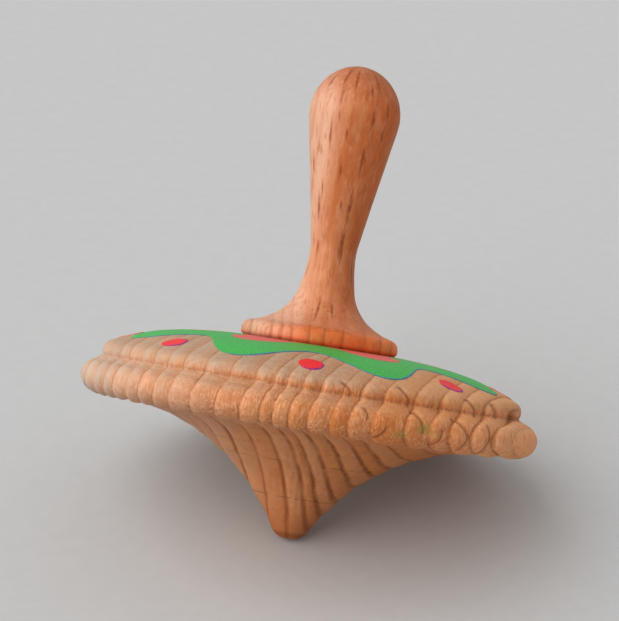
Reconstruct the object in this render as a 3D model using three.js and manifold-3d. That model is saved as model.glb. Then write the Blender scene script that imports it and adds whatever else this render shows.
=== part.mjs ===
// A wooden finger top: a turned body (point, cone and beaded disc), a turned knob handle whose
// tenon is glued into the body, and the thin printed film that decorates the disc's upper face.
// Millimetres, +Z up along the spin axis, origin at the middle of the worn flat on the point.

import * as THREE from 'three';
import { mergeVertices } from 'three/addons/utils/BufferGeometryUtils.js';
import Module from 'manifold-3d';

const wasm = await Module();
wasm.setup();

// Driving dimensions of the body. Every outline point is a Vector2 of radius and height.
const RIM_RADIUS = 25;
const POINT_FLAT_RADIUS = 0.9;
const BEAD_HEIGHT = 14.4;
const BEAD_WIDTH = 2.3;
const BEAD_HALF_THICKNESS = 2;
const BEAD_END_ANGLE = THREE.MathUtils.degToRad(68);
const UNDERCUT = 0.2;
const GROOVE_RADIUS = 22.95;
const GROOVE_HEIGHT = 16.7;
const SHOULDER_RADIUS = 23.05;
const SHOULDER_HEIGHT = 17.3;
const SEAT_HEIGHT = 21.15;
const SEAT_RADIUS = 8.7;

// Driving dimensions of the handle and of the glued joint between the two pieces.
const TENON_RADIUS = 3;
const TENON_LENGTH = 8;
const TENON_CHAMFER = 0.4;
const GLUE_GAP = 0.05;
const GLUE_POCKET = 0.4;
const FOOT_RADIUS = 8.58;
const WAIST_RADIUS = 2.52;
const WAIST_HEIGHT = 31.2;
const KNOB_RADIUS = 4.98;
const KNOB_HEIGHT = 46.4;
const TOTAL_HEIGHT = 51.9;

// Driving dimensions of the print: a wavy green band, a red ring of petals inside it and one red
// dot in each bay of the wave.
const FILM_THICKNESS = 0.15;
const FILM_LIFT = 0.05;
const LOBES = 8;
const PETALS = 6;
const PRINT_TURN = THREE.MathUtils.degToRad(-91.2);
const WAVE_RADIUS = 18.6;
const WAVE_SWING = 2.4;
const PETAL_RADIUS = 11.9;
const PETAL_SWING = 2.9;
const PETAL_ROUNDNESS = 0.6;
const COLOUR_GAP = 0.1;
const RING_INNER_RADIUS = 8.8;
const DOT_RADIUS = 1.3;
const DOT_DISTANCE = 20.3;

const LATHE_SEGMENTS = 48;
const WAVE_STEPS = 96;
const DOT_SEGMENTS = 16;

const woodBody = new THREE.MeshStandardMaterial({ color: 0xb98562, roughness: 0.75, metalness: 0 });
const woodHandle = new THREE.MeshStandardMaterial({ color: 0xc07a4e, roughness: 0.6, metalness: 0 });
const greenInk = new THREE.MeshStandardMaterial({ color: 0x4eaf54, roughness: 0.45, metalness: 0 });
const redInk = new THREE.MeshStandardMaterial({ color: 0xee3c3e, roughness: 0.45, metalness: 0 });
const paleRedInk = new THREE.MeshStandardMaterial({ color: 0xe15f5f, roughness: 0.45, metalness: 0 });

function point(radius, height) {
  return new THREE.Vector2(radius, height);
}

function spline(points, divisions) {
  return new THREE.SplineCurve(points).getPoints(divisions);
}

function ellipseArc(centre, width, height, startAngle, endAngle, divisions) {
  const curve = new THREE.EllipseCurve(centre.x, centre.y, width, height, startAngle, endAngle);
  return curve.getPoints(divisions);
}

// Turns an outline about the vertical axis.
function turn(outline) {
  const geometry = new THREE.LatheGeometry(outline, LATHE_SEGMENTS);
  geometry.rotateX(Math.PI / 2);
  return geometry;
}

// The hollow-sided cone, from the point's flat out to the undercut behind the bead.
function coneOutline() {
  return spline([
    point(POINT_FLAT_RADIUS, 0),
    point(1.75, 0.6),
    point(2.65, 2),
    point(4.35, 4.2),
    point(6.75, 6.8),
    point(9.1, 8.55),
    point(12.15, 10.35),
    point(15.1, 11.5),
    point(18.3, 12.2),
    point(20.3, 12.55),
    point(RIM_RADIUS - BEAD_WIDTH - 0.9, BEAD_HEIGHT - BEAD_HALF_THICKNESS + UNDERCUT),
  ], 18);
}

function beadOutline() {
  const centre = point(RIM_RADIUS - BEAD_WIDTH, BEAD_HEIGHT);
  return ellipseArc(centre, BEAD_WIDTH, BEAD_HALF_THICKNESS, -Math.PI / 2, BEAD_END_ANGLE, 9);
}

function shoulderOutline() {
  return spline([
    point(GROOVE_RADIUS, GROOVE_HEIGHT),
    point(SHOULDER_RADIUS, SHOULDER_HEIGHT),
    point(SHOULDER_RADIUS - 0.3, SHOULDER_HEIGHT + 0.7),
    point(SHOULDER_RADIUS - 1, SHOULDER_HEIGHT + 1.15),
  ], 5);
}

// The gently domed upper face, from the shoulder in to the handle's flat seat.
function domeOutline() {
  return spline([
    point(SHOULDER_RADIUS - 1.6, SHOULDER_HEIGHT + 1.42),
    point(19.4, 19.5),
    point(17.6, 20.05),
    point(14.5, 20.65),
    point(11.6, 20.98),
    point(SEAT_RADIUS, SEAT_HEIGHT),
  ], 7);
}

function bodyOutline() {
  const boreRadius = TENON_RADIUS + GLUE_GAP;
  const boreFloor = SEAT_HEIGHT - TENON_LENGTH - GLUE_POCKET;
  return [
    point(0, 0),
    ...coneOutline(),
    ...beadOutline(),
    ...shoulderOutline(),
    ...domeOutline(),
    point(boreRadius, SEAT_HEIGHT),
    point(boreRadius, boreFloor),
    point(0, boreFloor),
  ];
}

function tenonOutline() {
  const tenonEnd = SEAT_HEIGHT - TENON_LENGTH;
  return [
    point(0, tenonEnd),
    point(TENON_RADIUS - TENON_CHAMFER, tenonEnd),
    point(TENON_RADIUS, tenonEnd + TENON_CHAMFER),
    point(TENON_RADIUS, SEAT_HEIGHT),
  ];
}

function footOutline() {
  return [
    point(FOOT_RADIUS - 0.3, SEAT_HEIGHT),
    point(FOOT_RADIUS, SEAT_HEIGHT + 0.35),
    point(FOOT_RADIUS, SEAT_HEIGHT + 0.85),
    point(FOOT_RADIUS - 0.15, SEAT_HEIGHT + 1.3),
    point(FOOT_RADIUS - 0.5, SEAT_HEIGHT + 1.65),
    point(FOOT_RADIUS - 1.2, SEAT_HEIGHT + 1.9),
  ];
}

// The flare above the foot, the waist and the long taper out to the knob.
function stemOutline() {
  return spline([
    point(6.4, 23.38),
    point(4.98, 24.2),
    point(4.1, 25.1),
    point(3.3, 26.4),
    point(2.86, 28.2),
    point(WAIST_RADIUS, WAIST_HEIGHT),
    point(2.92, 34.2),
    point(3.72, 38.9),
    point(4.5, 43.3),
    point(4.86, 45.3),
  ], 14);
}

function knobOutline() {
  const centre = point(0, KNOB_HEIGHT);
  const knobRise = TOTAL_HEIGHT - KNOB_HEIGHT;
  const outline = ellipseArc(centre, KNOB_RADIUS, knobRise, 0, Math.PI / 2, 9);
  outline[outline.length - 1].x = 0;
  return outline;
}

function handleOutline() {
  return [...tenonOutline(), ...footOutline(), ...stemOutline(), ...knobOutline()];
}

// A thin shell over the whole dome, parallel to its facets.
function filmShell() {
  const dome = domeOutline();
  const underside = dome.map((p) => point(p.x, p.y + FILM_LIFT)).reverse();
  const upperSide = dome.map((p) => point(p.x, p.y + FILM_LIFT + FILM_THICKNESS));
  return turn([...underside, ...upperSide, underside[0].clone()]);
}

// A closed line round the axis whose radius follows a function of the angle from the first dot.
function roundLine(radiusAt) {
  const points = [];
  for (let step = 0; step < WAVE_STEPS; step += 1) {
    const angle = (2 * Math.PI * step) / WAVE_STEPS;
    const bearing = angle + PRINT_TURN;
    points.push(point(radiusAt(angle) * Math.cos(bearing), radiusAt(angle) * Math.sin(bearing)));
  }
  return points;
}

// The green band's outer edge: its bays face the dots and its lobes lie between them.
function waveLine() {
  return roundLine((angle) => WAVE_RADIUS - WAVE_SWING * Math.cos(LOBES * angle));
}

// The edge of the round-ended petals, moved inwards by a margin.
function petalLine(margin) {
  return roundLine((angle) => {
    const wave = -Math.cos(PETALS * angle);
    const rounded = Math.sign(wave) * Math.abs(wave) ** PETAL_ROUNDNESS;
    return PETAL_RADIUS + PETAL_SWING * rounded - margin;
  });
}

// A tall prism of a flat region, for cutting that region out of the film shell.
function prism(outerLine, innerLine) {
  const region = new THREE.Shape(outerLine);
  region.holes.push(new THREE.Path(innerLine));
  return new THREE.ExtrudeGeometry(region, { depth: TOTAL_HEIGHT, bevelEnabled: false });
}

function dotPrism(index) {
  const bearing = PRINT_TURN + (2 * Math.PI * index) / LOBES;
  const geometry = new THREE.CylinderGeometry(DOT_RADIUS, DOT_RADIUS, TOTAL_HEIGHT, DOT_SEGMENTS);
  geometry.rotateX(Math.PI / 2);
  geometry.translate(DOT_DISTANCE * Math.cos(bearing), DOT_DISTANCE * Math.sin(bearing), 0);
  return geometry;
}

function toSolid(geometry) {
  const bare = geometry.clone();
  bare.deleteAttribute('normal');
  bare.deleteAttribute('uv');
  const merged = mergeVertices(bare);
  return new wasm.Manifold(new wasm.Mesh({
    numProp: 3,
    vertProperties: merged.attributes.position.array,
    triVerts: merged.index.array,
  }));
}

function toGeometry(solid) {
  const mesh = solid.getMesh();
  const geometry = new THREE.BufferGeometry();
  geometry.setAttribute('position', new THREE.BufferAttribute(mesh.vertProperties, 3));
  geometry.setIndex(new THREE.BufferAttribute(mesh.triVerts, 1));
  geometry.computeVertexNormals();
  return geometry;
}

function film(regionPrism) {
  return toGeometry(toSolid(filmShell()).intersect(toSolid(regionPrism)));
}

function addPiece(group, name, geometry, material) {
  const mesh = new THREE.Mesh(geometry, material);
  mesh.name = name;
  group.add(mesh);
}

const top = new THREE.Group();
addPiece(top, 'body', turn(bodyOutline()), woodBody);
addPiece(top, 'handle', turn(handleOutline()), woodHandle);

const greenRegion = prism(waveLine(), petalLine(0));
const redRegion = prism(petalLine(COLOUR_GAP), roundLine(() => RING_INNER_RADIUS));
addPiece(top, 'green_wave_print', film(greenRegion), greenInk);
addPiece(top, 'red_petal_print', film(redRegion), paleRedInk);

for (let index = 0; index < LOBES; index += 1) {
  addPiece(top, `red_dot_print_${index + 1}`, film(dotPrism(index)), redInk);
}

export default top;
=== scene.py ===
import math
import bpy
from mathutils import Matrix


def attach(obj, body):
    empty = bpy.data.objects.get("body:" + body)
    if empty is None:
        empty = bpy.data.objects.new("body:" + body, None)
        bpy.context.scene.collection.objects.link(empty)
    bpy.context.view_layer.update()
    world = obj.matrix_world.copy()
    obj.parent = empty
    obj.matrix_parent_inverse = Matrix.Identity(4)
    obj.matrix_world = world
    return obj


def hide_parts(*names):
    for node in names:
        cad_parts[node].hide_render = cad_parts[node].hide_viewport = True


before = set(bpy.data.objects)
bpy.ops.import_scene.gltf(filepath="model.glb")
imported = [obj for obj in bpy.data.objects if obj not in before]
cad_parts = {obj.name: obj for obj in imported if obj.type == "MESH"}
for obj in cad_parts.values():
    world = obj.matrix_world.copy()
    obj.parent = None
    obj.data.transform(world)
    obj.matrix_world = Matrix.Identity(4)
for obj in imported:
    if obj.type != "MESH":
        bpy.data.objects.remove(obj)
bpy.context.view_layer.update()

# A beech finger top resting on its point and rim. The CAD solids give every outline; this script
# adds what the wood and the print look like: raised growth rings, cracks, ray flecks, ink edges.
# Lengths are in metres, like the frame; MM turns the wood's small sizes into metres.

from types import SimpleNamespace

import bpy
import numpy as np
from mathutils import Matrix, Vector

MM = 0.001

# The pose on the floor: the tilt at which the point and the rim both touch, and its bearing.
LEAN = math.radians(28.8)
LEAN_BEARING = math.radians(73)

# The camera, level with the disc and rolled so that the handle leans to the right.
CAMERA_DISTANCE = 260 * MM
CAMERA_HEIGHT = 20.5 * MM
CAMERA_ROLL = math.radians(8.97)
CAMERA_LENS = 138.6
AIM = Vector((-1.55 * MM, 0, 24.8 * MM))

# The light: an even grey sky and one wide, low window at the front left. DISPLAY_GAMMA is the tone
# curve, and the sky is a grey that shows as a light grey backdrop through it.
DISPLAY_GAMMA = 0.75
SKY = 0.565 ** DISPLAY_GAMMA
WINDOW_PLACE = Vector((-0.78, -0.60, 0.34)).normalized()
WINDOW_STRENGTH = 2.4
WINDOW_SPREAD = math.radians(80)

# The floor: half its width in metres, and the even light that it gives off, as if it were lit
# through, which keeps its shadows open.
FLOOR_REACH = 60
FLOOR_GLOW = 0.06

# The body's wood. The growth rings are nearly flat sheets that stand upright; GRAIN_TURN is the
# bearing of the line across them, GRAIN_LEAN how far they lean sideways per mm of height in the
# disc, and RING_WIDTHS their widths along that line, in mm.
GRAIN_TURN = math.radians(-15.5)
FIRST_RING_EDGE = -27.1
RING_WIDTHS = (
    1.6, 1.6, 1.4, 2.5, 2.1, 1.6, 2.2, 1.8, 2.0, 2.1, 2.6, 2.9, 2.7, 2.0, 1.3, 1.5, 1.9, 2.1,
    1.7, 2.2, 3.0, 2.2, 1.7, 1.8, 1.8, 1.3, 1.6, 1.5,
)
GRAIN_LEAN = 0.15
RING_EDGES = FIRST_RING_EDGE + np.concatenate([[0], np.cumsum(RING_WIDTHS)])

# Curved cracks on the disc's edge: place across the rings, height of the bulge, lowest and
# highest end, and how fast the crack curves away from the bulge, per mm. All in mm.
CRACKS = (
    (12.3, 14.9, 14.8, 15.8, 0.9),
    (14.0, 14.2, 12.8, 14.2, 0.66),
    (17.25, 14.4, 14.0, 16.2, 0.49),
    (18.8, 14.3, 12.8, 14.6, 0.5),
    (20.87, 14.2, 12.8, 16.1, 0.48),
    (22.68, 14.5, 12.7, 15.9, 0.36),
    (9.8, 16.9, 16.7, 18.0, 0.76),
    (15.1, 16.9, 16.7, 18.3, 0.62),
    (20.5, 16.8, 16.6, 18.1, 0.53),
    (21.95, 16.9, 16.7, 18.0, 0.4),
)

# Smudges of green ink left on the disc's edge: bearing in degrees from the front, height and size.
SMUDGES = ((22.5, 13.7, 1.3), (27.4, 14.6, 1.6), (29.7, 14.4, 1.0))

# The handle's wood: ring edges along X, and the dark flecks on its front as bearing in degrees
# from the front, height, length and width in mm.
HANDLE_RING_EDGES = np.array([-10, -7.5, -5.3, -4.3, -3.3, -1.3, 0.4, 2.3, 4.7, 6.4, 7.7, 9])
FLECKS = (
    (-4, 50.0, 2.6, 0.36),
    (-20, 48.1, 2.2, 0.34),
    (32, 50.1, 2.2, 0.3),
    (20, 48.9, 1.8, 0.3),
    (-29, 43.8, 3.7, 0.32),
    (25, 46.0, 2.0, 0.4),
    (45, 47.0, 2.0, 0.3),
    (44, 44.3, 2.2, 0.36),
    (22, 41.5, 3.0, 0.42),
    (-8, 39.9, 2.2, 0.34),
    (18, 36.5, 3.5, 0.46),
    (17, 32.4, 3.8, 0.46),
    (-45, 36.0, 2.9, 0.4),
    (-43, 31.5, 1.7, 0.3),
    (-9, 25.0, 2.4, 0.32),
    (12, 25.0, 1.6, 0.3),
    (-63, 40.7, 2.3, 0.4),
    (61, 29.4, 2.6, 0.34),
    (-6, 44.0, 1.3, 0.3),
)
SPARE_FLECKS = 16

# Heights in mm: the top of the cone, the foot of the bead, the middle of the disc, the groove under
# the shoulder, the shoulder and a level through the handle's foot.
CONE_TOP = 12.4
BEAD_FOOT = 12.6
DISC_MIDDLE = 14.4
SHOULDER_GROOVE = 16.7
SHOULDER = 17.4
HANDLE_FOOT = 21.5

# Distances from the axis in mm: SOCKET_REACH is just past the hidden tenon and its socket, and only
# the disc's edge lies beyond RIM_START.
SOCKET_REACH = 3.2
RIM_START = 22

# Depths in the body's wood, in mm: between two rings, in a crack, in the groove under the shoulder
# and between the raised fibres.
RING_DEPTH = 0.20
CRACK_DEPTH = 0.10
CREASE_DEPTH = 0.05
FIBRE_DEPTH = 0.022

# How finely the skins are divided: round the axis, and along or across their outlines.
BODY_SEGMENTS = 650
LOWER_STEPS, UPPER_STEPS = 104, 47
HANDLE_SEGMENTS, HANDLE_STEPS = 220, 210
PRINT_SEGMENTS, GREEN_STEPS, RED_STEPS = 720, 36, 16
DOT_SEGMENTS, DOT_STEPS = 64, 14

# The print, in mm: the outlines of its CAD solids, with a red ring that reaches in to the handle's
# foot, a thin film a hair above the wood, and the drift between the colours.
LOBES, PETALS = 8, 6
PRINT_TURN = math.radians(-91.2)
WAVE_RADIUS, WAVE_SWING = 18.6, 2.4
PETAL_RADIUS, PETAL_SWING, PETAL_ROUNDNESS = 11.9, 2.9, 0.6
RING_INNER_RADIUS = 8.6
DOT_RADIUS, DOT_DISTANCE = 1.3, 20.3
INK_LIFT, INK_THICKNESS = 0.003, 0.035
INK_DRIFT = np.array([-0.10, 0.13])

# The inks, and the woods' colours, each named for where or what it tints.
GREEN_INK, BLUE_RIM = (0.085, 0.53, 0.12, 1), (0.06, 0.19, 0.52, 1)
RED_INK, PURPLE_RIM = (0.90, 0.05, 0.06, 1), (0.26, 0.03, 0.42, 1)
PALE_RED_INK = (0.80, 0.17, 0.15, 1)
BODY_COLOURS = SimpleNamespace(
    # left, middle, right and right_end run across the disc: the pale grey left is a painted sheen of
    # the window, the deep orange right is painted shade, and the paler right end is a painted sheen on
    # the far edge.
    left=(0.54, 0.46, 0.40, 1),
    middle=(0.57, 0.32, 0.20, 1),
    right=(0.62, 0.238, 0.07, 1),
    right_end=(0.88, 0.42, 0.20, 1),
    # top_left and top_right are paler tones for the faces that look up: painted light from above.
    top_left=(0.55, 0.46, 0.36, 1),
    top_right=(0.86, 0.54, 0.30, 1),
    dome=(0.44, 0.34, 0.265, 1),
    cone=(0.65, 0.30, 0.125, 1),
    cone_stain=(0.55, 0.20, 0.06, 1),
    late_wood=(0.54, 0.23, 0.09, 1),
    warm_patch=(0.78, 0.33, 0.12, 1),
    pale_ring=(0.80, 0.55, 0.38, 1),
    light_fibre=(0.93, 0.66, 0.46, 1),
    dark_fibre=(0.58, 0.24, 0.08, 1),
    light_weave=(0.92, 0.66, 0.48, 1),
    dark_weave=(0.52, 0.20, 0.065, 1),
    ray=(0.46, 0.23, 0.11, 1),
    speck=(0.97, 0.88, 0.78, 1),
    ring_line=(0.34, 0.13, 0.045, 1),
    # crease is painted shade along the groove under the shoulder.
    crease=(0.36, 0.18, 0.085, 1),
    tool_mark=(0.32, 0.12, 0.04, 1),
    crack=(0.30, 0.11, 0.038, 1),
    tip=(0.42, 0.15, 0.05, 1),
    tip_edge=(0.26, 0.085, 0.028, 1),
    smudge=(0.34, 0.35, 0.075, 1),
)
HANDLE_COLOURS = SimpleNamespace(
    pale_band=(0.61, 0.265, 0.125, 1),
    dark_band=(0.55, 0.185, 0.058, 1),
    # left is a painted highlight of the window on the handle's left side, right is painted shade on its
    # right side, and knob_top_shade is painted shade on the knob's top.
    left=(0.71, 0.475, 0.355, 1),
    right=(0.61, 0.165, 0.03, 1),
    flare=(0.70, 0.40, 0.26, 1),
    knob_top_shade=(0.47, 0.175, 0.075, 1),
    foot_stain=(0.74, 0.21, 0.045, 1),
    foot_right=(0.92, 0.28, 0.07, 1),
    streak=(0.42, 0.13, 0.035, 1),
    pale_mottle=(0.78, 0.46, 0.30, 1),
    late_wood=(0.50, 0.15, 0.045, 1),
    light_fibre=(0.84, 0.50, 0.31, 1),
    dark_fibre=(0.46, 0.15, 0.045, 1),
    fleck=(0.30, 0.075, 0.018, 1),
    ring_line=(0.32, 0.08, 0.022, 1),
)


# ---------------------------------------------------------------- outlines from the CAD solids

def cad_outline(node, inside, keep):
    """Radius and height, in mm, of a turned node's outline, from bottom to top. The points are put
    in order by their bearing from a point inside the outline."""
    points = {
        (round(math.hypot(v.co.x, v.co.y) / MM, 4), round(v.co.z / MM, 4))
        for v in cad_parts[node].data.vertices
        if abs(v.co.y) < 1e-6 and v.co.x >= -1e-9
    }
    chosen = [p for p in points if keep(*p)]
    return np.array(sorted(chosen, key=lambda p: math.atan2(p[1] - inside[1], p[0] - inside[0])))


def smooth_outline(points, steps, fineness=None):
    """A Catmull-Rom curve through the points, its steps even or shorter where fineness is high."""
    padded = np.vstack([2 * points[0] - points[1], points, 2 * points[-1] - points[-2]])
    fine = []
    for p0, p1, p2, p3 in zip(padded, padded[1:], padded[2:], padded[3:]):
        for t in np.linspace(0, 1, 12, endpoint=False):
            fine.append(0.5 * (
                2 * p1 + (p2 - p0) * t + (2 * p0 - 5 * p1 + 4 * p2 - p3) * t * t
                + (3 * p1 - p0 - 3 * p2 + p3) * t ** 3
            ))
    fine = np.array(fine + [points[-1]])
    lengths = np.hypot(*np.diff(fine, axis=0).T)
    if fineness:
        lengths = lengths * fineness(fine[1:, 0], fine[1:, 1])
    run = np.concatenate([[0], np.cumsum(lengths)])
    even = np.linspace(0, run[-1], steps)
    return np.stack([np.interp(even, run, fine[:, 0]), np.interp(even, run, fine[:, 1])], 1)


def body_outline():
    """The body from its worn point to its socket, with the groove under the shoulder kept sharp."""

    def on_outside(r, z):
        return r > SOCKET_REACH or 0.1 < r and z < CONE_TOP

    points = cad_outline("body", (6, 17), on_outside)
    beside = (points[:, 1] > 16) & (points[:, 1] < 17.5)
    groove = np.argmin(np.where(beside, points[:, 0], 99))

    def lower_fineness(r, z):
        return 1 + 2.0 * (r > 19) + 1.5 * (np.abs(z - points[groove, 1]) < 0.6)

    lower = smooth_outline(points[:groove + 1], LOWER_STEPS, lower_fineness)
    upper = smooth_outline(points[groove:], UPPER_STEPS, lambda r, z: 1 + 1.6 * (r > 21.5))
    return np.vstack([lower, upper[1:]])


def outward(outline):
    """Unit normals of an outline that runs from bottom to top."""
    along = np.gradient(outline, axis=0)
    along /= np.linalg.norm(along, axis=1)[:, None]
    return np.stack([along[:, 1], -along[:, 0]], 1)


def turned_grid(outline, segments):
    """Points and normals of the outline turned about the Z axis, as (step, segment, xyz)."""
    angle = np.linspace(0, 2 * math.pi, segments, endpoint=False) - math.pi / 2
    normal = outward(outline)

    def turn(rz):
        return np.stack([
            rz[:, :1] * np.cos(angle),
            rz[:, :1] * np.sin(angle),
            np.repeat(rz[:, 1:], segments, 1),
        ], -1)

    return turn(outline), turn(normal)


def add_piece(name, points, attributes, mat, node, hollow=False):
    """A closed skin over a (step, segment) grid in mm, standing in for a CAD node. A hollow one
    joins its last step to its first; any other has flat ends."""
    steps, segments, _ = points.shape
    faces = []
    for i in range(steps if hollow else steps - 1):
        up = (i + 1) % steps * segments
        for j in range(segments):
            k = (j + 1) % segments
            faces.append((i * segments + j, i * segments + k, up + k, up + j))
    if not hollow:
        faces.append(tuple(range(segments - 1, -1, -1)))
        faces.append(tuple((steps - 1) * segments + j for j in range(segments)))
    mesh = bpy.data.meshes.new(name)
    mesh.from_pydata([tuple(p) for p in points.reshape(-1, 3) * MM], [], faces)
    mesh.polygons.foreach_set("use_smooth", [True] * len(mesh.polygons))
    for key, values in attributes.items():
        layer = mesh.attributes.new(key, "FLOAT", "POINT")
        layer.data.foreach_set("value", np.asarray(values, np.float32).ravel())
    mesh.update()
    mesh.materials.append(mat)
    obj = bpy.data.objects.new(name, mesh)
    bpy.context.scene.collection.objects.link(obj)
    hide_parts(node)
    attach(obj, "root")
    return obj


# ---------------------------------------------------------------- the wood's relief

def smoothstep(low, high, x):
    t = np.clip((x - low) / (high - low), 0, 1)
    return t * t * (3 - 2 * t)


def waves(points, seed, size, octaves=3):
    """Smooth seeded noise, mostly from -1 to 1, made of sine waves in random directions; size in mm."""
    rng = np.random.default_rng(seed)
    total, weight = 0, 0
    for octave in range(octaves):
        for _ in range(5):
            direction = rng.normal(size=3)
            direction /= np.linalg.norm(direction)
            phase = rng.uniform(0, 2 * math.pi)
            scale = 2 * math.pi * 2 ** octave / size
            total = total + np.sin(points @ direction * scale + phase) / 1.6 ** octave
            weight += 1 / 1.6 ** octave
    return total / weight * 2.2


def across_grain(p):
    return p[..., 0] * math.cos(GRAIN_TURN) + p[..., 1] * math.sin(GRAIN_TURN)


def ring_coordinate(p):
    """Distance across the growth rings, with the rings' slight fan, bend and wander."""
    across = across_grain(p)
    along = -p[..., 0] * math.sin(GRAIN_TURN) + p[..., 1] * math.cos(GRAIN_TURN)
    fan = np.clip(0.05 - 0.006 * across, -0.03, 0.12)
    bend = fan * 14 * np.tanh((along + 23) / 14)
    lean = GRAIN_LEAN * (np.maximum(p[..., 2], CONE_TOP) - DISC_MIDDLE)
    lean = lean * (1 - 0.8 * smoothstep(12.5, 15.5, across))
    wander = 0.10 * waves(p * (1, 1, 0.6), 3, 9) + 0.05 * waves(p, 4, 2.2)
    return across - lean - bend + wander


def ring_phase(w, edges):
    """Ring number plus the fraction of the way across that ring, and the ring's width."""
    phase = np.interp(w, edges, np.arange(len(edges)))
    width = np.diff(edges)[np.clip(phase.astype(int), 0, len(edges) - 2)]
    return phase, width


def wave_edge(angle):
    """Radius of the green band's outer edge, by bearing from the first dot."""
    return WAVE_RADIUS - WAVE_SWING * np.cos(LOBES * angle)


def wave_distance(xy):
    """Distance from a point to the green band's outer edge, negative inside."""
    radius = np.hypot(xy[..., 0], xy[..., 1])
    bearing = np.arctan2(xy[..., 1], xy[..., 0]) - PRINT_TURN
    edge = wave_edge(bearing)
    slope = LOBES * WAVE_SWING * np.sin(LOBES * bearing) / edge
    return (radius - edge) / np.sqrt(1 + slope ** 2)


def dot_distance(xy):
    """Distance from a point to the nearest dot's edge, negative inside."""
    radius = np.hypot(xy[..., 0], xy[..., 1])
    step = 2 * math.pi / LOBES
    bearing = np.arctan2(xy[..., 1], xy[..., 0]) - PRINT_TURN
    off = (bearing + step / 2) % step - step / 2
    return np.hypot(radius * np.cos(off) - DOT_DISTANCE, radius * np.sin(off)) - DOT_RADIUS


def crack_distance(p):
    """Signed distance, positive on the right, to the nearest curved crack; 1 where there is none."""
    across, height = across_grain(p), p[..., 2]
    nearest = np.ones(p.shape[:-1])
    for place, middle, low, high, bow in CRACKS:
        offset = across - place + bow * (height - middle) ** 2
        slope = 2 * bow * (height - middle)
        beyond = np.maximum(np.maximum(low - height, height - high), 0)
        side = np.where(offset < 0, -1, 1)
        distance = side * np.hypot(offset / np.sqrt(1 + slope ** 2), 2 * beyond)
        on_front = p[..., 1] < 0
        nearest = np.where(on_front & (np.abs(distance) < np.abs(nearest)), distance, nearest)
    return nearest


def level_band(height, level, half_width):
    """1 at a level, falling away above and below it."""
    return np.exp(-((height - level) / half_width) ** 2)


def ring_pillow(phase, width, under):
    """How far each ring has shrunk: a groove at both edges and a slow fall from left to right."""
    across = phase % 1
    from_left, from_right = across * width, (1 - across) * width
    pillow = RING_DEPTH * np.exp(-from_left / (0.26 + 0.14 * under))
    pillow = pillow + RING_DEPTH * smoothstep(0.25, 1.05, across)
    return pillow + 0.07 * np.exp(-from_right / 0.2)


def crack_groove(crack):
    """A fine split in a soft hollow, with the wood on its right sunk a little."""
    split = CRACK_DEPTH * np.exp(-(crack / 0.12) ** 2) + 0.06 * np.exp(-np.abs(crack) / 0.2)
    return split + CRACK_DEPTH * np.exp(-np.maximum(crack, 0) / 0.4) * (crack > 0) * (crack < 1)


def bare_wood(p):
    """1 on bare wood, 0 where the smooth print lies on the dome."""
    on_dome = smoothstep(18.2, 18.7, p[..., 2])
    printed = np.minimum(wave_distance(p), dot_distance(p))
    return 1 - on_dome * (1 - smoothstep(0.0, 0.45, printed))


def body_relief(p, phase, width, crack):
    """How far the wood has shrunk below the turned surface. The rings stand out most at the rim
    and are worn away on the point."""
    height = p[..., 2]
    at_rim = np.hypot(p[..., 0], p[..., 1]) > RIM_START
    corners = 0.5 * level_band(height, SHOULDER_GROOVE, 0.4)
    corners = corners + 0.6 * level_band(height, BEAD_FOOT, 0.4) * at_rim
    crease = CREASE_DEPTH * level_band(height, SHOULDER_GROOVE, 0.10) * at_rim
    ring_strength = 0.85 + 0.3 * np.sin(phase.astype(int) * 2.4)
    strength = ring_strength * (1 + 0.3 * corners) * (1 + 0.25 * waves(p * (1, 1, 0.4), 8, 5, 2))
    share = 1.28 - 0.78 * smoothstep(SHOULDER, 18.5, height)
    ends = 1 - 0.85 * smoothstep(23.1, 24.1, np.abs(across_grain(p)))
    worn = smoothstep(1.0, 4.5, height)
    fuzz = FIBRE_DEPTH * waves(p * (1, 1, 0.4), 11, 0.7, 2)
    pillow = ring_pillow(phase, width, smoothstep(12.3, 11.6, height))
    relief = pillow * strength * share * ends * (0.2 + 0.8 * worn)
    return np.maximum(relief + crack_groove(crack) + crease + fuzz * worn, 0) * bare_wood(p)


def smudge_field(p):
    """From 0 to 1 towards the middle of each smudge of ink."""
    radius = np.hypot(p[..., 0], p[..., 1])
    bearing = np.arctan2(p[..., 0], -p[..., 1])
    field = np.zeros(p.shape[:-1])
    for turn, height, size in SMUDGES:
        off = np.hypot(radius * (bearing - math.radians(turn)), 2 * (p[..., 2] - height))
        field = np.maximum(field, 1 - off / size)
    return field


def build_body(outline):
    p, normals = turned_grid(outline, BODY_SEGMENTS)
    phase, width = ring_phase(ring_coordinate(p), RING_EDGES)
    crack = crack_distance(p)
    p = p - normals * body_relief(p, phase, width, crack)[..., None]
    attributes = {
        "ring": phase,
        "width": width,
        "crack": np.abs(crack),
        "smudge": smudge_field(p),
    }
    return add_piece("turned_body", p, attributes, body_wood(), "body")


def fleck_field(p):
    """Above 0 inside the dark spindles that run along the handle, 1 at their middles."""
    rng = np.random.default_rng(5)
    spare = [
        (rng.uniform(-180, 180), rng.uniform(25, 51), rng.uniform(0.8, 2.6), rng.uniform(0.2, 0.4))
        for _ in range(SPARE_FLECKS)
    ]
    radius = np.hypot(p[..., 0], p[..., 1])
    bearing = np.arctan2(p[..., 0], -p[..., 1])
    field = np.full(p.shape[:-1], -1.0)
    for turn, height, length, width in list(FLECKS) + spare:
        off = (bearing - math.radians(turn) + math.pi) % (2 * math.pi) - math.pi
        reach = np.hypot(radius * off / (width / 2), (p[..., 2] - height) / (length / 2))
        field = np.maximum(field, 1 - reach)
    return field


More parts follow.
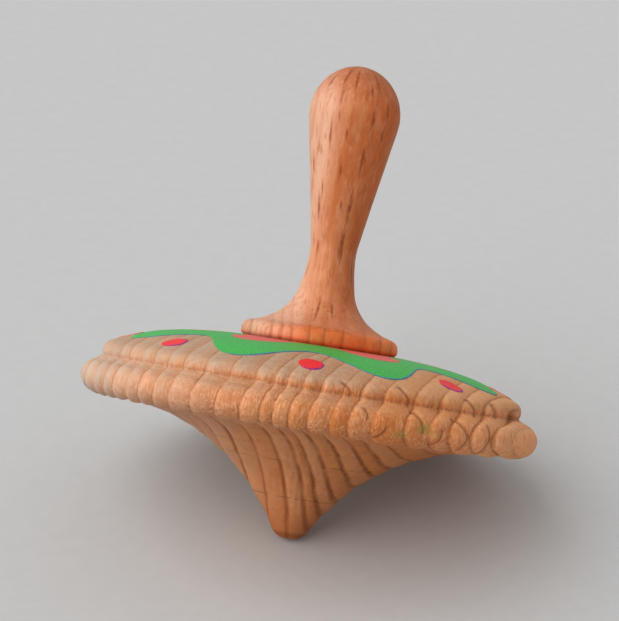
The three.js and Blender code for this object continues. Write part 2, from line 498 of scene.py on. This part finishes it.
def build_handle():
    def on_outside(r, z):
        return r > SOCKET_REACH or z > HANDLE_FOOT

    outline = cad_outline("handle", (0, HANDLE_FOOT), on_outside)
    p, normals = turned_grid(smooth_outline(outline, HANDLE_STEPS), HANDLE_SEGMENTS)
    bent = p[..., 0] + 0.02 * p[..., 1] + 0.12 * waves(p * (1, 1, 0.15), 31, 5, 2)
    phase, width = ring_phase(bent, HANDLE_RING_EDGES)
    edge = np.minimum(phase % 1, 1 - phase % 1) * width
    foot = smoothstep(23.2, 22.9, p[..., 2])
    depth = 0.02 * foot * np.exp(-(edge / 0.25) ** 2)
    depth = depth + 0.04 * level_band(p[..., 2], 23.2, 0.15)
    depth = depth + 0.012 + 0.012 * waves(p * (1, 1, 0.1), 21, 1.4, 2)
    p = p - normals * np.maximum(depth, 0)[..., None]
    attributes = {"ring": phase, "width": width, "fleck": fleck_field(p)}
    add_piece("turned_handle", p, attributes, handle_wood(), "handle")


# ---------------------------------------------------------------- the print

def film_points(xy, outline):
    """The ink film over a (across, round, xy) patch that runs from the inside out."""
    dome = outline[outline[:, 1] > SHOULDER]
    radius = np.hypot(xy[..., 0], xy[..., 1])
    seat = np.interp(radius, dome[::-1, 0], dome[::-1, 1])
    under = np.concatenate([xy, seat[..., None] + INK_LIFT], -1)
    over = np.concatenate([xy, seat[..., None] + INK_THICKNESS], -1)
    return np.concatenate([under, over[::-1]])


def ring_patch(inner, outer, across, around):
    """A patch between two closed lines, each given as radius against bearing from the first dot."""
    angle = np.linspace(0, 2 * math.pi, around, endpoint=False)
    share = np.linspace(0, 1, across)[:, None]
    radius = inner(angle) * (1 - share) + outer(angle) * share
    bearing = angle + PRINT_TURN
    return np.stack([radius * np.cos(bearing), radius * np.sin(bearing)], -1)


def petal_edge(angle):
    """Radius of the round-ended red petals, by bearing from the first dot."""
    wave = -np.cos(PETALS * angle)
    return PETAL_RADIUS + PETAL_SWING * np.sign(wave) * np.abs(wave) ** PETAL_ROUNDNESS


def build_print(outline):
    green = ink("green_ink", GREEN_INK, BLUE_RIM)
    red = ink("red_ink", RED_INK, PURPLE_RIM)
    pale = ink("pale_red_ink", PALE_RED_INK, PALE_RED_INK)

    patch = ring_patch(petal_edge, wave_edge, GREEN_STEPS, PRINT_SEGMENTS)
    points = film_points(patch, outline)
    fringe = wave_distance(points[..., :2] - 1.3 * INK_DRIFT)
    add_piece("green_film", points, {"fringe": fringe}, green, "green_wave_print",
              hollow=True)

    def inner_edge(angle):
        return np.full(angle.shape, RING_INNER_RADIUS)

    patch = ring_patch(inner_edge, petal_edge, RED_STEPS, PRINT_SEGMENTS)
    points = film_points(patch, outline)
    no_fringe = np.full(points.shape[:-1], -1.0)
    add_piece("red_film", points, {"fringe": no_fringe}, pale,
              "red_petal_print", hollow=True)

    angle = np.linspace(0, 2 * math.pi, DOT_SEGMENTS, endpoint=False)
    reach = DOT_RADIUS * np.linspace(0.03, 1, DOT_STEPS)[:, None]
    for number in range(LOBES):
        bearing = PRINT_TURN + 2 * math.pi * number / LOBES
        wobble = 1 + 0.025 * np.sin(3 * angle + 1.7 * number) + 0.015 * np.sin(5 * angle)
        patch = np.stack([
            DOT_DISTANCE * math.cos(bearing) + reach * wobble * np.cos(angle),
            DOT_DISTANCE * math.sin(bearing) + reach * wobble * np.sin(angle),
        ], -1)
        points = film_points(patch, outline)
        fringe = dot_distance(points[..., :2] - 1.6 * INK_DRIFT)
        name = f"red_dot_print_{number + 1}"
        add_piece(f"red_film_{number + 1}", points, {"fringe": fringe}, red, name)


# ---------------------------------------------------------------- materials

class Tree:
    """Short calls for making and joining shader nodes."""

    def __init__(self, tree):
        self.tree = tree

    def node(self, kind, settings=None, **inputs):
        """A new node. Each input is given by its label, or by the letter i and its number."""
        made = self.tree.nodes.new(kind)
        for key, value in (settings or {}).items():
            setattr(made, key, value)
        for key, value in inputs.items():
            numbered = key[0] == "i" and key[1:].isdigit()
            self.feed(made.inputs[int(key[1:]) if numbered else key], value)
        return made

    def feed(self, socket, value):
        if isinstance(value, bpy.types.NodeSocket):
            self.tree.links.new(value, socket)
        else:
            socket.default_value = value

    def math(self, operation, a, b=0.0):
        return self.node("ShaderNodeMath", {"operation": operation}, i0=a, i1=b).outputs[0]

    def times(self, a, b):
        return self.math("MULTIPLY", a, b)

    def ramp(self, value, low, high, out_low=0.0, out_high=1.0):
        made = self.node("ShaderNodeMapRange", {"interpolation_type": "SMOOTHSTEP"},
                         i0=value, i1=low, i2=high, i3=out_low, i4=out_high)
        return made.outputs[0]

    def mix(self, factor, a, b):
        """A mix of two colours, from a at factor 0 to b at factor 1."""
        return self.node("ShaderNodeMix", {"data_type": "RGBA"}, i0=factor, i6=a, i7=b).outputs[2]

    def attribute(self, name):
        return self.node("ShaderNodeAttribute", {"attribute_name": name}).outputs["Fac"]

    def place(self, turn, scale):
        """Object coordinates turned about Z, times a scale in patterns per mm."""
        where = self.node("ShaderNodeTexCoord").outputs["Object"]
        turned = self.node("ShaderNodeVectorRotate", {"rotation_type": "Z_AXIS"},
                           Vector=where, Angle=-turn).outputs[0]
        return self.node("ShaderNodeVectorMath", {"operation": "MULTIPLY"},
                         i0=turned, i1=tuple(s / MM for s in scale)).outputs[0]

    def axis(self, turn, name):
        """One of the turned object coordinates, in mm."""
        return self.node("ShaderNodeSeparateXYZ", Vector=self.place(turn, (1, 1, 1))).outputs[name]

    def noise(self, vector, detail=2.0, rough=0.5):
        return self.node("ShaderNodeTexNoise", Vector=vector, Scale=1.0, Detail=detail,
                         Roughness=rough).outputs[0]

    def line_at(self, height, level, half_width):
        """1 on a level line round the wood, falling to 0 at half_width above and below it."""
        off = self.math("ABSOLUTE", self.math("SUBTRACT", height, level))
        return self.ramp(off, half_width, 0.0)

    def bump(self, shader, rise):
        """Raises the surface by a height given in mm."""
        bump = self.node("ShaderNodeBump", Strength=1.0, Distance=MM, Height=rise)
        self.feed(shader.inputs["Normal"], bump.outputs[0])

    def ring_edge(self):
        """Distance in mm to the nearest ring edge, and the share of the way across the ring."""
        across = self.math("FRACT", self.attribute("ring"))
        edge = self.math("MINIMUM", across, self.math("SUBTRACT", 1.0, across))
        return self.times(edge, self.attribute("width")), across


def material(name):
    """A new material with its surface shader and its node tree."""
    mat = bpy.data.materials.new(name)
    mat.use_nodes = True
    return mat, mat.node_tree.nodes["Principled BSDF"], Tree(mat.node_tree)


def body_zones(t):
    """Where a point lies on the body: sizes in mm, and masks from 0 to 1."""
    height = t.axis(0, "Z")
    on_top = t.ramp(height, 16.8, 18.0)
    bead_top = t.times(t.ramp(height, 14.9, 15.9), t.ramp(height, 16.9, 16.5))
    return SimpleNamespace(
        side=t.axis(GRAIN_TURN, "X"),
        height=height,
        on_top=on_top,
        faces_up=t.math("MAXIMUM", on_top, t.times(bead_top, 0.65)),
        below=t.ramp(height, CONE_TOP, 11.6),
    )


def body_grain(t, zones):
    """The raised wood's noise patterns, calmer below, on top and towards the left."""
    rough = t.math("SUBTRACT", 1.0, t.times(zones.below, 0.65))
    rough = t.times(rough, t.ramp(zones.faces_up, 0.0, 1.0, 1.0, 0.45))
    rough = t.times(rough, t.ramp(zones.side, -22, 4, 0.45, 1.0))
    half = t.times(t.math("SUBTRACT", 1.0, rough), 0.5)

    def pattern(scale, detail=2.0, roughness=0.5):
        return t.noise(t.place(GRAIN_TURN, scale), detail, roughness)

    def calmed(noise):
        return t.math("ADD", t.times(noise, rough), half)

    return SimpleNamespace(
        fibres=calmed(pattern((5, 5, 1.3))),
        weave=calmed(pattern((3, 3, 1.1), 3.0, 0.55)),
        specks=calmed(pattern((4.5, 4.5, 2.5))),
        rays=pattern((0.6, 6.5, 0.6)),
        patches=pattern((0.4, 0.4, 0.25), 3.0),
        cloud=pattern((0.9, 0.9, 0.55), 3.0),
    )


def body_base_colour(t, zones, grain, across):
    """The broad colours, mostly painted light: sheen on the left, shade on the right, paler tops."""
    side = zones.side
    ring_number = t.math("FLOOR", t.attribute("ring"))
    ring_chance = t.node("ShaderNodeTexWhiteNoise", {"noise_dimensions": "1D"}, W=ring_number)
    paler = t.mix(t.ramp(side, 6, 18), BODY_COLOURS.top_left, BODY_COLOURS.top_right)
    greyed = t.times(zones.on_top, t.ramp(side, 4, 16, 0.55, 0.1))
    reddened = t.times(zones.below, t.ramp(side, -9, 1, 0.0, 0.5))
    stained = t.times(t.ramp(side, -9, 1), t.ramp(grain.cloud, 0.42, 0.66, 0.0, 0.5))
    # Painted light across the disc: a pale sheen on the left, deep orange shade on the right, a paler
    # sheen at the right end.
    colour = t.mix(t.ramp(side, -24, -6), BODY_COLOURS.left, BODY_COLOURS.middle)
    colour = t.mix(t.ramp(side, -9, 9), colour, BODY_COLOURS.right)
    colour = t.mix(t.ramp(side, 15, 24), colour, BODY_COLOURS.right_end)
    # Paler where the wood faces up: painted light from above.
    colour = t.mix(t.times(zones.faces_up, 0.6), colour, paler)
    colour = t.mix(greyed, colour, BODY_COLOURS.dome)
    colour = t.mix(reddened, colour, BODY_COLOURS.cone)
    colour = t.mix(t.times(stained, zones.below), colour, BODY_COLOURS.cone_stain)
    colour = t.mix(t.ramp(across, 0.3, 1.0, 0.0, 0.4), colour, BODY_COLOURS.late_wood)
    colour = t.mix(t.ramp(grain.patches, 0.5, 0.72, 0.0, 0.3), colour, BODY_COLOURS.warm_patch)
    return t.mix(t.times(ring_chance.outputs[0], 0.2), colour, BODY_COLOURS.pale_ring)


def body_fibre_colour(t, grain, ray_mark, colour):
    """Light and dark fibres, rays and specks over the broad colours."""
    fibres, weave = grain.fibres, grain.weave
    colour = t.mix(t.ramp(fibres, 0.5, 0.70, 0.0, 0.28), colour, BODY_COLOURS.light_fibre)
    colour = t.mix(t.ramp(fibres, 0.48, 0.30, 0.0, 0.38), colour, BODY_COLOURS.dark_fibre)
    colour = t.mix(t.ramp(weave, 0.5, 0.32, 0.0, 0.42), colour, BODY_COLOURS.dark_weave)
    colour = t.mix(t.ramp(weave, 0.52, 0.68, 0.0, 0.25), colour, BODY_COLOURS.light_weave)
    colour = t.mix(ray_mark, colour, BODY_COLOURS.ray)
    return t.mix(t.ramp(grain.specks, 0.62, 0.74, 0.0, 0.28), colour, BODY_COLOURS.speck)


def ring_line(t, zones, grain, edge):
    """The dark line between two rings: broad below, faint on the left and at both ends."""
    line = t.ramp(edge, t.ramp(zones.below, 0.0, 1.0, 0.22, 0.45), 0.0)
    line = t.times(line, t.ramp(grain.patches, 0.3, 0.65, 0.4, 1.0))
    line = t.times(line, t.ramp(t.math("ABSOLUTE", zones.side), 24.1, 23.1, 0.2, 1.0))
    line = t.times(line, t.ramp(zones.on_top, 0.0, 1.0, 0.7, 0.55))
    line = t.times(line, t.ramp(zones.below, 0.0, 1.0, 1.0, 1.35))
    return t.times(line, t.ramp(zones.side, -18, 2, 0.6, 1.0))


def tool_marks(t, zones, grain):
    """Thin broken lines that the turning tool left round the cone."""
    height = zones.height
    marks = t.math("MAXIMUM", t.line_at(height, 8.6, 0.09), t.line_at(height, 4.6, 0.12))
    marks = t.math("MAXIMUM", marks, t.times(t.line_at(height, 10.1, 0.09), 0.5))
    return t.times(marks, t.ramp(grain.patches, 0.4, 0.55))


def body_mark_colour(t, zones, grain, marks, colour):
    """Ring lines, the painted shade in the crease, tool marks, cracks, the worn tip and the smudges of
    ink.
    """
    height, weave = zones.height, grain.weave
    # Painted shade along the groove under the shoulder.
    crease = t.times(t.line_at(height, 16.75, 0.25), t.ramp(weave, 0.6, 0.4, 0.1, 0.5))
    tip_edge = t.times(t.line_at(height, 0.5, 0.45), t.ramp(weave, 0.4, 0.6, 0.3, 0.7))
    smudge = t.times(t.ramp(t.attribute("smudge"), 0.0, 0.7), t.ramp(weave, 0.4, 0.6))
    colour = t.mix(marks.line, colour, BODY_COLOURS.ring_line)
    colour = t.mix(crease, colour, BODY_COLOURS.crease)
    colour = t.mix(t.times(marks.tool, 0.28), colour, BODY_COLOURS.tool_mark)
    colour = t.mix(t.times(marks.crack, 0.5), colour, BODY_COLOURS.crack)
    colour = t.mix(t.ramp(height, 5, 0.3, 0.0, 0.6), colour, BODY_COLOURS.tip)
    colour = t.mix(tip_edge, colour, BODY_COLOURS.tip_edge)
    return t.mix(t.times(smudge, 0.65), colour, BODY_COLOURS.smudge)


def body_wood():
    """Raised, weathered beech: rings, fibres, rays and wear."""
    mat, shader, t = material("raised_beech")
    edge, across = t.ring_edge()
    zones = body_zones(t)
    grain = body_grain(t, zones)
    ray_mark = t.times(t.ramp(grain.rays, 0.5, 0.66), t.ramp(zones.faces_up, 0.0, 1.0, 0.08, 0.35))
    marks = SimpleNamespace(
        line=ring_line(t, zones, grain, edge),
        crack=t.ramp(t.attribute("crack"), 0.21, 0.03),
        tool=tool_marks(t, zones, grain),
    )
    colour = body_base_colour(t, zones, grain, across)
    colour = body_fibre_colour(t, grain, ray_mark, colour)
    t.feed(shader.inputs["Base Color"], body_mark_colour(t, zones, grain, marks, colour))
    t.feed(shader.inputs["Roughness"], t.ramp(grain.fibres, 0.3, 0.7, 0.55, 0.72))
    shader.inputs["Specular IOR Level"].default_value = 0.4

    rise = t.math("ADD", t.times(grain.fibres, 0.07), t.times(grain.weave, 0.11))
    grooves = ((ray_mark, 0.03), (marks.line, 0.05), (marks.crack, 0.07), (marks.tool, 0.05))
    for groove, depth in grooves:
        rise = t.math("SUBTRACT", rise, t.times(groove, depth))
    t.bump(shader, rise)
    return mat


def handle_base_colour(t, side, height):
    """The broad colours: a painted highlight on the left, painted shade on the right, a stained foot.
    """
    foot = t.ramp(height, 23.5, 22.6)
    flare = t.times(t.ramp(height, 27.5, 24.5), t.ramp(height, 23.0, 23.3))
    bands = t.noise(t.place(0, (0.9, 0.3, 0.05)))
    foot_stain = t.times(foot, t.ramp(side, -7, -2, 0.0, 0.7))
    foot_right = t.times(foot, t.ramp(side, 3, 8))
    colour = t.mix(t.ramp(bands, 0.35, 0.65), HANDLE_COLOURS.pale_band, HANDLE_COLOURS.dark_band)
    # Painted light: a pale highlight on the left side and deep orange shade on the right side.
    colour = t.mix(t.ramp(side, -0.5, -3.3, 0.0, 0.78), colour, HANDLE_COLOURS.left)
    colour = t.mix(t.ramp(side, 0.0, 3.5, 0.0, 0.85), colour, HANDLE_COLOURS.right)
    colour = t.mix(t.times(flare, 0.3), colour, HANDLE_COLOURS.flare)
    # The darker knob top is painted shade, where the low window light barely reaches.
    colour = t.mix(t.ramp(height, 46.5, 51.5, 0.0, 0.7), colour, HANDLE_COLOURS.knob_top_shade)
    colour = t.mix(foot_stain, colour, HANDLE_COLOURS.foot_stain)
    return t.mix(foot_right, colour, HANDLE_COLOURS.foot_right), foot


def handle_wood():
    """Smooth, handled beech: soft rings, fine fibres and dark flecks."""
    mat, shader, t = material("smooth_beech")
    edge, across = t.ring_edge()
    colour, foot = handle_base_colour(t, t.axis(0, "X"), t.axis(0, "Z"))
    fibres = t.noise(t.place(0, (5, 5, 0.8)))
    mottle = t.noise(t.place(0, (1.1, 1.1, 0.5)))
    streaks = t.noise(t.place(0, (3.2, 3.2, 0.3)))
    soft_fleck = t.ramp(t.attribute("fleck"), -0.5, 0.7)
    fleck = t.times(soft_fleck, t.ramp(fibres, 0.65, 0.4, 0.5, 1.0))
    line = t.times(t.ramp(edge, 0.3, 0.0), t.ramp(foot, 0.0, 1.0, 0.1, 0.45))
    line = t.times(line, t.ramp(mottle, 0.35, 0.55, 0.4, 1.0))
    colour = t.mix(t.ramp(streaks, 0.52, 0.68, 0.0, 0.4), colour, HANDLE_COLOURS.streak)
    colour = t.mix(t.ramp(mottle, 0.5, 0.7, 0.0, 0.22), colour, HANDLE_COLOURS.pale_mottle)
    colour = t.mix(t.ramp(across, 0.3, 1.0, 0.0, 0.2), colour, HANDLE_COLOURS.late_wood)
    colour = t.mix(t.ramp(fibres, 0.52, 0.74, 0.0, 0.15), colour, HANDLE_COLOURS.light_fibre)
    colour = t.mix(t.ramp(fibres, 0.45, 0.25, 0.0, 0.25), colour, HANDLE_COLOURS.dark_fibre)
    colour = t.mix(t.times(fleck, 0.8), colour, HANDLE_COLOURS.fleck)
    colour = t.mix(line, colour, HANDLE_COLOURS.ring_line)
    t.feed(shader.inputs["Base Color"], colour)
    t.feed(shader.inputs["Roughness"], t.ramp(fibres, 0.3, 0.7, 0.42, 0.55))
    shader.inputs["Specular IOR Level"].default_value = 0.5
    t.bump(shader, t.math("SUBTRACT", t.times(fibres, 0.01), t.times(fleck, 0.02)))
    return mat


def ink(name, colour, under_colour):
    """Printed colour whose front edge shows a dotted rim of another ink that drifted a little."""
    mat, shader, t = material(name)
    grain = t.noise(t.place(0, (7, 7, 7)), 2.0)
    dots = t.noise(t.place(0, (4.5, 4.5, 4.5)), 0.0)
    paler = tuple(1 - 0.86 * (1 - c) for c in colour[:3]) + (1,)
    darker = tuple(0.82 * c for c in colour[:3]) + (1,)
    mixed = t.mix(t.ramp(grain, 0.35, 0.6), darker, colour)
    mixed = t.mix(t.ramp(grain, 0.6, 0.75), mixed, paler)
    rim = t.ramp(t.attribute("fringe"), -0.03, 0.03)
    rim = t.times(rim, t.ramp(dots, 0.35, 0.6, 0.45, 1.0))
    rim = t.times(rim, t.ramp(t.axis(0, "Y"), -4, -9))
    mixed = t.mix(rim, mixed, under_colour)
    t.feed(shader.inputs["Base Color"], mixed)
    shader.inputs["Roughness"].default_value = 0.45
    shader.inputs["Specular IOR Level"].default_value = 0.5
    t.bump(shader, t.times(grain, 0.02))
    return mat


# ---------------------------------------------------------------- the floor, light and camera

def floor_normal():
    """The floor's upward direction, leaning towards the front as much as the top leans."""
    back = Vector((math.cos(LEAN_BEARING), math.sin(LEAN_BEARING), 0))
    return Vector((0, 0, 1)) * math.cos(LEAN) - back * math.sin(LEAN)


def floor_material(normal):
    """Matt grey that shows as bright as the sky where nothing shades it. From below it is clear,
    so that a low view still sees the top."""
    mat, shader, t = material("pale_floor")
    lit = SKY + WINDOW_STRENGTH * WINDOW_PLACE.dot(normal) / math.pi
    grey = (SKY - FLOOR_GLOW) / lit
    mottle = t.noise(t.place(0, (0.5, 0.5, 0.5)), 3.0, 0.6)
    tones = t.mix(mottle, (grey * 0.965,) * 3 + (1,), (grey * 1.035,) * 3 + (1,))
    t.feed(shader.inputs["Base Color"], tones)
    shader.inputs["Emission Color"].default_value = (1, 1, 1, 1)
    shader.inputs["Emission Strength"].default_value = FLOOR_GLOW
    shader.inputs["Roughness"].default_value = 1.0
    shader.inputs["Specular IOR Level"].default_value = 0.0
    clear = t.node("ShaderNodeBsdfTransparent").outputs[0]
    under = t.node("ShaderNodeNewGeometry").outputs["Backfacing"]
    both = t.node("ShaderNodeMixShader", i0=under, i1=shader.outputs[0], i2=clear)
    t.feed(mat.node_tree.nodes["Material Output"].inputs["Surface"], both.outputs[0])
    return mat


def build_floor(body):
    """A plane that touches the point and the rim, with the row frame left upright."""
    normal = floor_normal()
    points = np.array([v.co for v in body.data.vertices])
    offset = (points @ np.array(normal)).min()
    corners = [(x * FLOOR_REACH, y * FLOOR_REACH, 0) for x, y in ((-1, -1), (1, -1), (1, 1), (-1, 1))]
    mesh = bpy.data.meshes.new("floor")
    mesh.from_pydata(corners, [], [(0, 1, 2, 3)])
    mesh.materials.append(floor_material(normal))
    floor = bpy.data.objects.new("floor", mesh)
    bpy.context.scene.collection.objects.link(floor)
    turn = Vector((0, 0, 1)).rotation_difference(normal).to_matrix().to_4x4()
    floor.matrix_world = Matrix.Translation(normal * offset) @ turn


def build_light():
    world = bpy.data.worlds.new("studio")
    world.use_nodes = True
    world.node_tree.nodes["Background"].inputs[0].default_value = (SKY, SKY, SKY, 1)
    bpy.context.scene.world = world
    light = bpy.data.lights.new("window", "SUN")
    light.energy = WINDOW_STRENGTH
    light.angle = WINDOW_SPREAD
    obj = bpy.data.objects.new("window", light)
    obj.rotation_mode = "QUATERNION"
    obj.rotation_quaternion = (-WINDOW_PLACE).to_track_quat("-Z", "Y")
    bpy.context.scene.collection.objects.link(obj)
    bpy.context.scene.view_settings.view_transform = "Standard"
    bpy.context.scene.view_settings.gamma = DISPLAY_GAMMA


def build_camera():
    data = bpy.data.cameras.new("camera")
    data.lens = CAMERA_LENS
    data.clip_start = 0.01
    camera = bpy.data.objects.new("camera", data)
    place = Vector((0, -CAMERA_DISTANCE, CAMERA_HEIGHT))
    ahead = (AIM - place).normalized()
    right = ahead.cross(Vector((0, 0, 1))).normalized()
    up = right.cross(ahead)
    turn = Matrix((right, up, -ahead)).transposed() @ Matrix.Rotation(CAMERA_ROLL, 3, "Z")
    camera.matrix_world = Matrix.Translation(place) @ turn.to_4x4()
    bpy.context.scene.collection.objects.link(camera)
    bpy.context.scene.camera = camera


outline = body_outline()
body = build_body(outline)
build_handle()
build_print(outline)
build_floor(body)
build_light()
build_camera()
